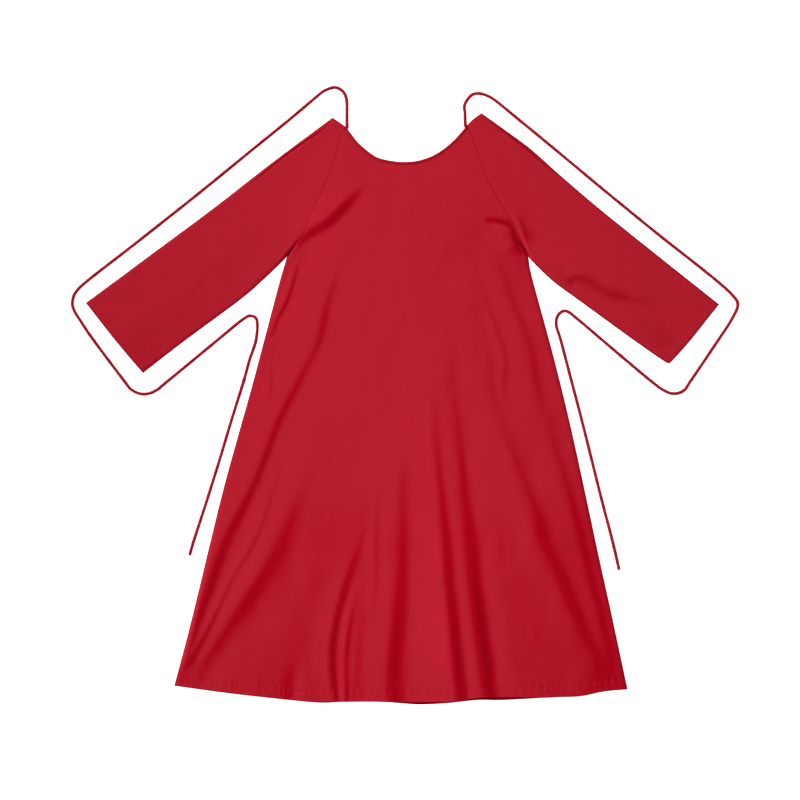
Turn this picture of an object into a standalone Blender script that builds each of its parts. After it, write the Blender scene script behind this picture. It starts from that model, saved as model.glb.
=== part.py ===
"""A red raglan-sleeved midi dress with two long neck ties, laid flat with its front up.

The dress lies on the plane z = 0, neck toward +Y, its middle at the origin.
"""

import bpy
import bmesh
import numpy as np

MM = 0.001

# Cloth
WALL = 1.2 * MM
PLY_GAP = 0.3 * MM
SEAM_GAP = 0.4 * MM
FRONT_LAYER = WALL + PLY_GAP
EDGE_HEIGHT = (FRONT_LAYER + WALL) / 2

# How far the front stands off the back, away from the folded edges and the neck
LOFT = 5.0 * MM
LOFT_REACH = 46 * MM
NECK_LOFT_SHARE = 0.8
NECK_REACH = 55 * MM
CUFF_LIFT = 2.4 * MM
CUFF_LIFT_REACH = 62 * MM
LEAST_LOFT = 0.2 * MM
FOLD_EDGE_REACH = 22 * MM

# Neck binding and ties
BINDING_WIDTH = 6.0 * MM
BINDING_ARCH = 0.7 * MM
TIE_DIAMETER = 6.0 * MM
TIE_LIE = TIE_DIAMETER / 2 + 0.05 * MM
TIE_START_RISE = 1.0 * MM
TIE_SETTLES_IN = 30 * MM
BACK_NECK_DROP = 3.0 * MM

# Where the front hem is lifted by its largest flute, so that the back hem shows below it
HEM_LIFT = {"across": 105, "half_width": 38, "height": 3.0}

# Mesh density
RAGLAN_STEPS = 10
FRONT_ROWS = 19
FRONT_COLUMNS = 46
BACK_ROWS = 10
BACK_COLUMNS = 24
BINDING_COLUMNS = 3
SLEEVE_RINGS = 18
SAMPLES = 240
SPLINE_STEPS = 24
TIE_STEPS = 2

# Seams and edges of the laid-out dress, in millimetres across and up from its middle
NECKLINE = [(-113, 563.5), (-101, 545.5), (-85, 527.5), (-53, 504), (-21, 495.5), (7, 493.5),
            (35, 497), (67, 509.5), (99, 533.5), (128, 565.5)]
LEFT_RAGLAN = [(-113, 563.5), (-120, 549), (-137, 490), (-158, 438), (-179, 394), (-197, 350),
               (-227, 313.5)]
RIGHT_RAGLAN = [(128, 565.5), (134, 559), (153, 511), (171, 461), (191, 422), (209, 393),
                (226, 363), (246, 315.5)]
LEFT_SIDE = [(-227, 313.5), (-245, 257.5), (-297, 57.5), (-363, -182.5), (-421, -422.5),
             (-454, -552.5)]
RIGHT_SIDE = [(246, 315.5), (257, 257.5), (301, 97.5), (341, -62.5), (393, -302.5),
              (447, -558.5)]
HEM = [(-454, -552.5), (-365, -564.5), (-269, -574.5), (-173, -584.5), (-53, -582.5),
       (27, -587), (93, -584.5), (151, -579), (307, -574.5), (355, -572), (403, -562.5),
       (447, -558.5)]

SLEEVES = {
    "left": {
        "fold": [(-140, 582.5), (-261, 493.5), (-383, 397.5), (-513, 301.5), (-629, 211.5)],
        "neck": [(-140, 582.5), (-113, 563.5)],
        "raglan": LEFT_RAGLAN,
        "underarm": [(-227, 313.5), (-238, 300.5), (-281, 257.5), (-327, 218.5), (-439, 137.5),
                     (-518, 75.5)],
        "cuff": [(-629, 211.5), (-572, 137.5), (-518, 75.5)],
    },
    "right": {
        "fold": [(159, 588.5), (209, 554), (257, 517.5), (311, 469.5), (395, 397.5),
                 (515, 301.5), (630, 210.5)],
        "neck": [(159, 588.5), (128, 565.5)],
        "raglan": RIGHT_RAGLAN,
        "underarm": [(246, 315.5), (258, 300.5), (301, 257.5), (355, 217.5), (465, 137.5),
                     (530, 92)],
        "cuff": [(630, 210.5), (573, 137.5), (540, 97.5), (530, 92)],
    },
}

# The largest folds. Each falls to the right of its line, or to the lower right of a slanting one:
# name, line in millimetres, width of the steep side, reach of the gentle sides, drops along it
FOLDS = [
    ("left_drag", [(-61, 461), (-101, 425), (-145, 380), (-185, 343), (-229, 313)],
     30, 70, (0, 3.5, 7.5, 8, 5)),
    ("hip_left", [(-119, 301), (-149, 217), (-207, 57), (-277, -103), (-351, -263),
                  (-407, -423), (-435, -503)], 32, 90, (1, 4, 5, 6.5, 6.5, 5, 2)),
    ("left_wide", [(-167, -103), (-211, -183), (-239, -263), (-283, -343), (-339, -423),
                   (-393, -503)], 46, 95, (1, 3.5, 5.5, 7, 6, 2)),
    ("small_left", [(-73, -223), (-109, -343), (-131, -423), (-143, -503), (-145, -600)],
     22, 60, (0, 4.2, 4.4, 4.2, 4)),
    ("centre", [(1, -63), (-1, -183), (1, -263), (-3, -343), (-21, -503), (-21, -600)],
     34, 95, (1.5, 4.5, 6, 7.3, 7.8, 7.5)),
    ("flute", [(63, 17), (71, -103), (85, -263), (101, -423), (109, -503), (117, -600)],
     28, 80, (1, 4, 6, 7, 8, 8)),
    ("flute_right", [(97, 127), (107, -23), (125, -183), (145, -343), (165, -503), (172, -600)],
     40, 100, (0.5, 3.5, 6.5, 9, 10, 10)),
    ("right_wide", [(155, 237), (191, 37), (233, -103), (287, -263), (355, -423), (391, -503)],
     52, 95, (0.8, 2, 4.5, 7, 6, 2)),
    ("right_side", [(217, 217), (251, 137), (287, -23), (337, -183), (379, -343), (421, -503)],
     34, 70, (4, 4.5, 5, 5.5, 5.5, 2.5)),
    ("right_forearm", [(297, 284), (330, 262), (375, 250), (435, 228), (500, 212)],
     26, 60, (0, 3.5, 4, 3, 0)),
]

# The ties' routes over the surface, in millimetres, from the neck binding to their free ends
TIES = {
    "left": [(-109.6, 563.4), (-113, 589.5), (-113, 617.5), (-119, 634), (-135, 642.5),
             (-155, 636.5), (-170, 625.5), (-227, 577.5), (-301, 517.5), (-404, 433.5),
             (-510, 349.5), (-556, 313.5), (-628, 257.5), (-653, 233.5), (-660, 213.5),
             (-657, 197.5), (-645, 177.5), (-618, 137.5), (-558, 57.5), (-541, 37.5),
             (-519, 29.5), (-495, 35.5), (-467, 57.5), (-370, 137.5), (-321, 177.5),
             (-303, 186), (-291, 175.5), (-293, 137.5), (-306, 97.5), (-317, 57.5),
             (-342, -22.5), (-366, -102.5), (-391, -182.5), (-417, -262.5), (-426, -293.5)],
    "right": [(124.5, 565.3), (125, 589.5), (124, 607.5), (136, 625.5), (151, 630.5),
              (170, 625.5), (189, 613.5), (233, 577.5), (306, 517.5), (407, 433.5),
              (510, 349.5), (571, 301.5), (626, 257.5), (659, 227.5), (670, 207.5),
              (657, 177.5), (631, 137.5), (577, 57.5), (563, 37.5), (545, 30.5),
              (525, 35.5), (494, 57.5), (399, 137.5), (352, 177.5), (327, 195.5),
              (311, 187.5), (307, 167.5), (316, 137.5), (337, 57.5), (358, -22.5),
              (378, -102.5), (398, -182.5), (419, -262.5), (433, -322.5)],
}

RED = (0.45, 0.004, 0.016, 1.0)
DEEP_RED = (0.37, 0.003, 0.012, 1.0)


# Plane curves

def smooth_curve(points, samples):
    """Evenly spaced points in metres on a smooth curve through a row of millimetre points."""
    return resample(spline(np.array(points, float) * MM, SPLINE_STEPS), samples)


def spline(knots, steps):
    """A Catmull-Rom curve through the knots, with the given number of steps a stretch."""
    ends = np.vstack([2 * knots[0] - knots[1], knots, 2 * knots[-1] - knots[-2]])
    stretches = []
    for a, b, c, d in zip(ends, ends[1:], ends[2:], ends[3:]):
        t = np.linspace(0, 1, steps, endpoint=False)[:, None]
        linear = (c - a) * t
        square = (2 * a - 5 * b + 4 * c - d) * t ** 2
        cube = (3 * b - a - 3 * c + d) * t ** 3
        stretches.append(b + 0.5 * (linear + square + cube))
    stretches.append(knots[-1:])
    return np.vstack(stretches)


def lengths_along(path):
    return np.concatenate([[0], np.cumsum(np.linalg.norm(np.diff(path, axis=0), axis=1))])


def at_fractions(path, fractions):
    """Points at given fractions of a path's length."""
    run = lengths_along(path)
    where = np.asarray(fractions) * run[-1]
    return np.stack([np.interp(where, run, path[:, k]) for k in range(path.shape[1])], axis=1)


def resample(path, count):
    return at_fractions(path, np.linspace(0, 1, count))


def offset(path, distance):
    """The path moved sideways, to the left of its direction for a positive distance."""
    direction = np.gradient(path, axis=0)
    direction /= np.linalg.norm(direction, axis=1)[:, None]
    normal = np.stack([-direction[:, 1], direction[:, 0]], axis=1)
    return path + distance * normal


def joined(first, second):
    return np.vstack([first, second[1:]])


NECK = smooth_curve(NECKLINE, SAMPLES)
RAGLAN = {"left": smooth_curve(LEFT_RAGLAN, RAGLAN_STEPS + 1),
          "right": smooth_curve(RIGHT_RAGLAN, RAGLAN_STEPS + 1)}
SIDE = {"left": smooth_curve(LEFT_SIDE, SAMPLES), "right": smooth_curve(RIGHT_SIDE, SAMPLES)}
HEM_EDGE = smooth_curve(HEM, SAMPLES)


# Height of the front above the back

def gap_to(points, path):
    """Distance from each point to a path, signed distance beside it and the place along it."""
    gap = np.full(len(points), np.inf)
    beside = np.zeros(len(points))
    along = np.zeros(len(points))
    for index, (start, end) in enumerate(zip(path, path[1:])):
        run = end - start
        length = np.linalg.norm(run)
        place = np.clip((points - start) @ run / length ** 2, 0, 1)
        here = np.linalg.norm(points - start - place[:, None] * run, axis=1)
        side = (run[0] * (points[:, 1] - start[1]) - run[1] * (points[:, 0] - start[0])) / length
        nearer = here < gap
        gap[nearer] = here[nearer]
        beside[nearer] = side[nearer]
        along[nearer] = (index + place[nearer]) / (len(path) - 1)
    return gap, beside, along


def ease(share):
    share = np.clip(share, 0, 1)
    return share * share * (3 - 2 * share)


def folded_edges():
    """The edges along which the front and back layers meet: sleeve folds, underarms and sides."""
    edges = []
    for side, sleeve in SLEEVES.items():
        edges.append(smooth_curve(sleeve["fold"], 40))
        edges.append(joined(smooth_curve(sleeve["underarm"], 30)[::-1], resample(SIDE[side], 40)))
    return edges


def fold_height(points):
    height = np.zeros(len(points))
    for _, line, width, reach, drops in FOLDS:
        gap, beside, along = gap_to(points, smooth_curve(line, 40))
        drop = np.interp(along, np.linspace(0, 1, len(drops)), drops) * MM
        fade = np.clip(1 - gap / (reach * MM), 0, 1) ** 2
        height -= drop / 2 * np.tanh(2 * beside / (width * MM)) * fade
    return height


def cuff_lift(points):
    """The rise of each sleeve's mouth, largest at the middle of its cuff."""
    lift = np.zeros(len(points))
    for sleeve in SLEEVES.values():
        middle = smooth_curve(sleeve["cuff"], 3)[1]
        away = np.linalg.norm(points - middle, axis=1)
        lift += CUFF_LIFT * np.exp(-(away / CUFF_LIFT_REACH) ** 2)
    return lift


def loft_height(points):
    """How far the front's underside lies above its lowest place, at points in the plane."""
    to_edge = np.min([gap_to(points, edge)[0] for edge in folded_edges()], axis=0)
    to_neck = gap_to(points, resample(NECK, 40))[0]
    calm = NECK_LOFT_SHARE + (1 - NECK_LOFT_SHARE) * ease(to_neck / NECK_REACH)
    body = LOFT * (1 - np.exp(-(to_edge / LOFT_REACH) ** 1.4)) * calm
    clear = ease(to_edge / FOLD_EDGE_REACH)
    height = body + (fold_height(points) + cuff_lift(points)) * clear
    lowest = LEAST_LOFT * clear
    return np.maximum(height, lowest)


# Surfaces

def shares_along(path):
    run = lengths_along(path)
    return run / run[-1]


def filled(top, bottom, left, right, across):
    """A grid of plane points that fills four edges; rows run down the left and right ones.

    The columns' shares of the way across are given, because an inset edge starts past zero.
    """
    down = shares_along(left)[:, None, None]
    across = across[None, :, None]
    ruled = (1 - down) * top[None] + down * bottom[None]
    sided = (1 - across) * left[:, None] + across * right[:, None]
    corners = ((1 - down) * ((1 - across) * left[0] + across * right[0])
               + down * ((1 - across) * left[-1] + across * right[-1]))
    return ruled + sided - corners


def material(name, colour, roughness):
    made = bpy.data.materials.new(name)
    made.use_nodes = True
    shader = made.node_tree.nodes["Principled BSDF"]
    shader.inputs["Base Color"].default_value = colour
    shader.inputs["Roughness"].default_value = roughness
    shader.inputs["Metallic"].default_value = 0.0
    return made


def add_object(name, mesh, finish):
    mesh.materials.append(finish)
    mesh.shade_smooth()
    mesh.set_sharp_from_angle(angle=np.radians(50))
    made = bpy.data.objects.new(name, mesh)
    bpy.data.collections["dress"].objects.link(made)
    return made


def cloth_panel(name, grid, height, finish):
    """An open grid of cloth at the given underside heights, thickened upward into a wall."""
    rows, columns = grid.shape[0] - 1, grid.shape[1] - 1
    surface = bmesh.new()
    bmesh.ops.create_grid(surface, x_segments=columns, y_segments=rows, size=1)
    surface.verts.ensure_lookup_table()
    ordered = sorted(surface.verts, key=lambda v: (-round(v.co.y, 5), round(v.co.x, 5)))
    for vert, place, lift in zip(ordered, grid.reshape(-1, 2), height.ravel()):
        vert.co = (place[0], place[1], lift)
    bmesh.ops.recalc_face_normals(surface, faces=surface.faces)
    if sum(face.normal.z for face in surface.faces) < 0:
        bmesh.ops.reverse_faces(surface, faces=surface.faces)
    mesh = bpy.data.meshes.new(name)
    surface.to_mesh(mesh)
    surface.free()
    panel = add_object(name, mesh, finish)
    solid = panel.modifiers.new("cloth wall", "SOLIDIFY")
    solid.thickness = WALL
    solid.offset = 1.0
    solid.use_even_offset = True
    return panel


def neck_band(distance):
    """The neckline moved into the cloth by a distance and ended at the two raglan seams."""
    moved = offset(NECK, -distance)
    left = np.interp(moved[:, 1], RAGLAN["left"][::-1, 1], RAGLAN["left"][::-1, 0])
    right = np.interp(moved[:, 1], RAGLAN["right"][::-1, 1], RAGLAN["right"][::-1, 0])
    inside = (moved[:, 0] > left + SEAM_GAP) & (moved[:, 0] < right - SEAM_GAP)
    return moved[inside]


def panel_side(side, start, rows):
    """A panel's edge, from its neck corner down the raglan seam and then the side seam."""
    inward = SEAM_GAP if side == "left" else -SEAM_GAP
    edge = offset(joined(RAGLAN[side], resample(SIDE[side], rows + 1)), inward)
    return np.vstack([start, edge[1:]])


def lifted_hem(path):
    """The front hem, which its largest flute draws up."""
    lift = HEM_LIFT["height"] * np.exp(-((path[:, 0] / MM - HEM_LIFT["across"])
                                         / HEM_LIFT["half_width"]) ** 2) * MM
    return path + np.stack([np.zeros(len(path)), lift], axis=1)


def body_grid(neck_edge, hem_edge, columns, rows):
    top = resample(neck_edge, columns + 1)
    left = panel_side("left", top[0], rows)
    right = panel_side("right", top[-1], rows)
    bottom = resample(hem_edge, columns + 1)
    bottom[0], bottom[-1] = left[-1], right[-1]
    return filled(top, bottom, left, right, shares_along(top))


def on_grid(function, grid):
    return function(grid.reshape(-1, 2)).reshape(grid.shape[:2])


def front_panel(finish):
    grid = body_grid(neck_band(BINDING_WIDTH + SEAM_GAP), lifted_hem(HEM_EDGE),
                     FRONT_COLUMNS, FRONT_ROWS)
    cloth_panel("front_panel", grid, FRONT_LAYER + on_grid(loft_height, grid), finish)


def back_panel(finish):
    grid = body_grid(neck_band(BACK_NECK_DROP), HEM_EDGE, BACK_COLUMNS, BACK_ROWS)
    cloth_panel("back_panel", grid, np.zeros(grid.shape[:2]), finish)


def neck_binding(finish):
    outer = resample(neck_band(0), FRONT_COLUMNS + 1)
    inner = resample(neck_band(BINDING_WIDTH), FRONT_COLUMNS + 1)
    across = np.linspace(0, 1, BINDING_COLUMNS + 1)[:, None, None]
    grid = (1 - across) * outer[None] + across * inner[None]
    arch = BINDING_ARCH * np.sin(np.pi * across[..., 0])
    cloth_panel("neck_binding", grid, FRONT_LAYER + on_grid(loft_height, grid) + arch, finish)


# Sleeves

def sleeve_rings(side, edge_inset, wall_inset):
    """Plane points of a sleeve, one row a ring, with a column at each raglan station."""
    shape = SLEEVES[side]
    opening = joined(smooth_curve(shape["neck"], 2), RAGLAN[side])
    run = lengths_along(opening)
    width = run[-1]
    stops = np.concatenate([[edge_inset, wall_inset], run[1:-1],
                            [width - wall_inset, width - edge_inset]]) / width
    top = at_fractions(opening, stops)
    bottom = at_fractions(smooth_curve(shape["cuff"], SAMPLES), stops)
    fold = smooth_curve(shape["fold"], SLEEVE_RINGS + 1)
    under = smooth_curve(shape["underarm"], SLEEVE_RINGS + 1)
    return filled(top, bottom, fold, under, stops)


def ring_loop(plan, upper, lower, middle):
    """One closed loop of a flattened tube: over the top from the fold, then back underneath."""
    over = [(x, y, z) for (x, y), z in zip(plan[1:-1], upper[1:-1])]
    under = [(x, y, lower) for x, y in plan[1:-1][::-1]]
    return [(*plan[0], middle), *over, (*plan[-1], middle), *under]


def sleeve(side, finish):
    """A flattened tube of cloth, open at the raglan seam and at the cuff."""
    outer_plan = sleeve_rings(side, 0.0, 1.3 * MM)
    inner_plan = sleeve_rings(side, 1.5 * MM, 3.2 * MM)
    outer_loft = FRONT_LAYER + WALL + on_grid(loft_height, outer_plan)
    inner_loft = FRONT_LAYER + on_grid(loft_height, inner_plan)
    rings = SLEEVE_RINGS + 1
    outer = [ring_loop(outer_plan[i], outer_loft[i], 0.0, EDGE_HEIGHT) for i in range(rings)]
    inner = [ring_loop(inner_plan[i], inner_loft[i], WALL, EDGE_HEIGHT) for i in range(rings)]
    around = len(outer[0])
    tube = bmesh.new()
    skin = [[tube.verts.new(p) for p in loop] for loop in outer]
    lining = [[tube.verts.new(p) for p in loop] for loop in inner]
    for k in range(around):
        n = (k + 1) % around
        for i in range(rings - 1):
            tube.faces.new((skin[i][k], skin[i][n], skin[i + 1][n], skin[i + 1][k]))
            tube.faces.new((lining[i][k], lining[i + 1][k], lining[i + 1][n], lining[i][n]))
        tube.faces.new((skin[0][k], lining[0][k], lining[0][n], skin[0][n]))
        tube.faces.new((skin[-1][k], skin[-1][n], lining[-1][n], lining[-1][k]))
    bmesh.ops.recalc_face_normals(tube, faces=tube.faces)
    mesh = bpy.data.meshes.new(f"{side}_sleeve")
    tube.to_mesh(mesh)
    tube.free()
    add_object(f"{side}_sleeve", mesh, finish)


# Ties

def tie(side, finish):
    """A narrow rouleau tie that lies on the surface, with a bare free end."""
    route = spline(np.array(TIES[side], float) * MM, TIE_STEPS)
    curve = bpy.data.curves.new(f"tie_{side}", "CURVE")
    curve.dimensions = "3D"
    curve.bevel_depth = TIE_DIAMETER / 2
    curve.bevel_resolution = 2
    curve.use_fill_caps = True
    line = curve.splines.new("POLY")
    line.points.add(len(route) - 1)
    settled = ease(lengths_along(route) / TIE_SETTLES_IN)
    for point, (x, y), share in zip(line.points, route, settled):
        point.co = (x, y, TIE_LIE + TIE_START_RISE * (1 - share), 1)
    curve.materials.append(finish)
    made = bpy.data.objects.new(f"tie_{side}", curve)
    bpy.data.collections["dress"].objects.link(made)


def build():
    for thing in list(bpy.data.objects):
        bpy.data.objects.remove(thing)
    collection = bpy.data.collections.new("dress")
    bpy.context.scene.collection.children.link(collection)
    cloth = material("red_cloth", RED, 0.85)
    trim = material("red_trim", DEEP_RED, 0.8)
    back_panel(cloth)
    front_panel(cloth)
    neck_binding(trim)
    for side in SLEEVES:
        sleeve(side, cloth)
        tie(side, trim)


build()
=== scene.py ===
"""The looks of a red raglan midi dress, laid flat with its front up and its neck ties beside it."""

import bpy
import numpy as np
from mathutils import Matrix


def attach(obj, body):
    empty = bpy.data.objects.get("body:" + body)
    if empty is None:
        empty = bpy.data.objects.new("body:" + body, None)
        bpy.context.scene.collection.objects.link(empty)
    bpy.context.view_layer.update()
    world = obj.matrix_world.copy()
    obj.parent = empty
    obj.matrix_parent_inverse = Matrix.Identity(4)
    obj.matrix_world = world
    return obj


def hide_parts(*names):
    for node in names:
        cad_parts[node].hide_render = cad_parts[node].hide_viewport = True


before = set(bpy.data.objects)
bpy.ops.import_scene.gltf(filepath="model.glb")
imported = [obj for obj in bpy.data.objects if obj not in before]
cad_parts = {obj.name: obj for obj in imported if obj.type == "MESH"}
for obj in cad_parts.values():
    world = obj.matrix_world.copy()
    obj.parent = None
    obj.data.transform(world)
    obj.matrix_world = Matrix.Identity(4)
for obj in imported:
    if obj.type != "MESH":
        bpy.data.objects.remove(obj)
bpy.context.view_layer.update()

MM = 0.001

# Layers of cloth: the solids' wall and the gap between layers, and the thinner shells shown here
WALL = 1.2 * MM
PLY_GAP = 0.3 * MM
FRONT_TOP = 2 * WALL + PLY_GAP
CLOTH = 0.8 * MM
BACK_LIE = 0.25 * MM
SEAM_GAP = 0.12 * MM
EDGE_HEIGHT = 1.35 * MM
EDGE_ROUND = 2.2 * MM

# How far the front stands off the back, and how far in from the edge it takes to rise there:
# a reach at each of two heights up the dress
LOFT = 4.2 * MM
LOFT_REACH = {"left": (88 * MM, 88 * MM), "right": (52 * MM, 90 * MM)}
LOFT_REACH_GROWS = (-160 * MM, 40 * MM)
LOFT_POWER = 1.4
RIDGE_SHARE = 0.65
NECK_LOFT_SHARE = 0.8
NECK_REACH = 55 * MM
SLEEVE_LOFT_SHARE = 0.5
SLEEVE_REACH = 70 * MM
CUFF_LIFT = 1.0 * MM
CUFF_LIFT_REACH = 62 * MM
LEAST_LOFT = 0.2 * MM
SOFT_FLOOR = 0.5 * MM
SOFT_EDGE = 0.02 * MM
FOLD_EDGE_REACH = 7 * MM
RIPPLE = 0.4 * MM

# Seams and hems
SEAM_DIP = 0.26 * MM
SEAM_WIDTH = 2.5 * MM
UNDERARM_TUCK = 2.0 * MM
UNDERARM_REACH = 18 * MM
UNDERARM_GAP = 1.3 * MM
UNDERARM_GAP_REACH = 14 * MM
LOWEST_FRONT = 1.95 * MM
HEM_DEPTH = 19 * MM
CUFF_DEPTH = 13 * MM
HEM_FOLD = 0.15 * MM
HEM_FOLD_WIDTH = 1.2 * MM
HEM_GROOVE = 0.1 * MM
HEM_GROOVE_WIDTH = 1.1 * MM
HEM_ROLL = 0.35 * MM
HEM_ROLL_REACH = 0.9 * MM
HEM_PUCKER = {"pitch": 14 * MM, "height": 0.16 * MM, "reach": 7 * MM}
CUFF_PUCKER = {"pitch": 9 * MM, "height": 0.10 * MM, "reach": 5 * MM}
BACK_PUCKER_SHIFT = 13 * MM
SIDE_ROLL = 0.9 * MM
STITCH = {"pitch": 3.2 * MM, "length": 1.9 * MM, "radius": 0.12 * MM, "flat": 0.5,
          "sink": 0.1 * MM, "above": -0.02 * MM, "sides": 6, "first": 2 * MM, "last": 3 * MM}
BINDING_WIDTH = 6.0 * MM
BINDING_OVERLAP = 0.2 * MM
BINDING_RISE = 1.3 * MM
BINDING_WRINKLE = {"height": 0.12 * MM, "pitch": 7 * MM, "wander": 19 * MM}
# Painted shade over the binding's raised, rounded part
BINDING_SHADE = 0.3
BACK_NECK_DROP = 3.0 * MM

# Ties
TIE_WIDTH = 6.6 * MM
TIE_THICK = 5.0 * MM
TIE_LIE = 2.7 * MM
TIE_LOWEST = 0.05 * MM
TIE_START_RISE = 0.9 * MM
TIE_SETTLES_IN = 30 * MM
TIE_ROUNDS_IN = {"start": 3 * MM, "end": 1.6 * MM}
TIE_UNEVEN = 0.03
TIE_GROOVE = 0.10
TIE_FOLD = 0.025
TIE_STEP = 1.6 * MM
TIE_SIDES = 14

# Mesh density, and how finely the lines that shape the cloth are sampled
SAMPLES = 240
SPLINE_STEPS = 24
FOLD_SAMPLES = 40
CREASE_SAMPLES = 30
SEAM_SAMPLES = 60
EDGE_SAMPLES = 80
HEM_SAMPLES = 120
BINDING_SAMPLES = 260
LATTICE = 64

# Seams and edges of the laid-out dress, in millimetres across and up from its middle
NECKLINE = [(-113, 563.5), (-99.5, 545.5), (-84, 527.5), (-53, 504), (-21, 495.5), (7, 493.5),
            (35, 497), (67, 509.5), (99, 533.5), (128, 565.5)]
LEFT_RAGLAN = [(-113, 563.5), (-120, 549), (-137, 490), (-158, 438), (-179, 394), (-197, 350),
               (-229, 307)]
RIGHT_RAGLAN = [(128, 565.5), (130.2, 563), (134, 556.5), (153, 511), (171, 461), (191, 422),
                (209, 393), (226, 363), (250, 307)]
LEFT_SIDE = [(-229, 307), (-245, 257.5), (-298, 57.2), (-331.5, -62.5), (-364, -182.5),
             (-422.2, -422.5), (-456.7, -553.8)]
RIGHT_SIDE = [(250, 307), (260.3, 258), (303.7, 98), (342.3, -62.2), (394.1, -302.3),
              (415.6, -399.6), (450, -560.8)]
HEM = [(-456.7, -553.8), (-365, -566.3), (-269, -577.3), (-173, -586.7), (-122, -585.7),
       (-53, -585.4), (-4, -588.7), (27, -591), (56, -590.6), (93, -588.3), (151, -582.3),
       (190, -582.8), (235, -580.8), (307, -576.5), (355, -574.3), (403, -565), (450, -560.8)]

SLEEVES = {
    "left": {
        "fold": [(-140, 582.5), (-260.4, 492.7), (-383, 397.5), (-513, 301.2), (-561, 265.3),
                 (-633.5, 211.8)],
        "neck": [(-140, 582.5), (-113, 563.5)],
        "raglan": LEFT_RAGLAN,
        "underarm": [(-229, 307), (-238.7, 296), (-280, 256.3), (-325.7, 217), (-437, 134.7),
                     (-519.2, 71.2)],
        "cuff": [(-633.5, 211.8), (-573.9, 136), (-519.2, 71.2)],
    },
    "right": {
        "fold": [(157.9, 591.4), (209.4, 554.5), (257.8, 518.5), (311.7, 470.3),
                 (395.8, 398.5), (515.6, 302.3), (633, 209)],
        "neck": [(157.9, 591.4), (139.3, 577.5), (128, 565.5)],
        "raglan": RIGHT_RAGLAN,
        "underarm": [(250, 307), (258.3, 295.7), (299.5, 255.9), (353.7, 215.8), (463.8, 135.8),
                     (521.3, 96), (533, 90.5)],
        "cuff": [(633, 209), (602.6, 170.7), (574.8, 136), (543.5, 100.5), (533, 90.5)],
    },
}

# Where the front hem is drawn up by its flutes, so that the back hem shows below it:
# place across, half width and height in millimetres
HEM_LIFTS = [(42, 55, 3.6), (190, 60, 5.4)]
# Where the back hem lies in the front's shade: middle, half width and how dark it is there
BACK_HEM_SHADE = {"middle": 60 * MM, "reach": 58 * MM, "strength": 2.3}

# Shoulder darts: the line down from the neck, in millimetres, and the groove's depth along it
DARTS = [
    ([(-145, 572), (-165, 553.5), (-201, 529), (-238, 502), (-281, 467), (-315, 440)],
     (0.3, 0.8, 1.1, 0.9, 0.6, 0.0)),
    ([(163, 581), (186, 566), (216, 545), (249, 519), (281, 492), (315, 462)],
     (0.4, 0.8, 1.0, 1.0, 0.6, 0.0)),
]
DART_WIDTH = 1.9 * MM

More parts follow.
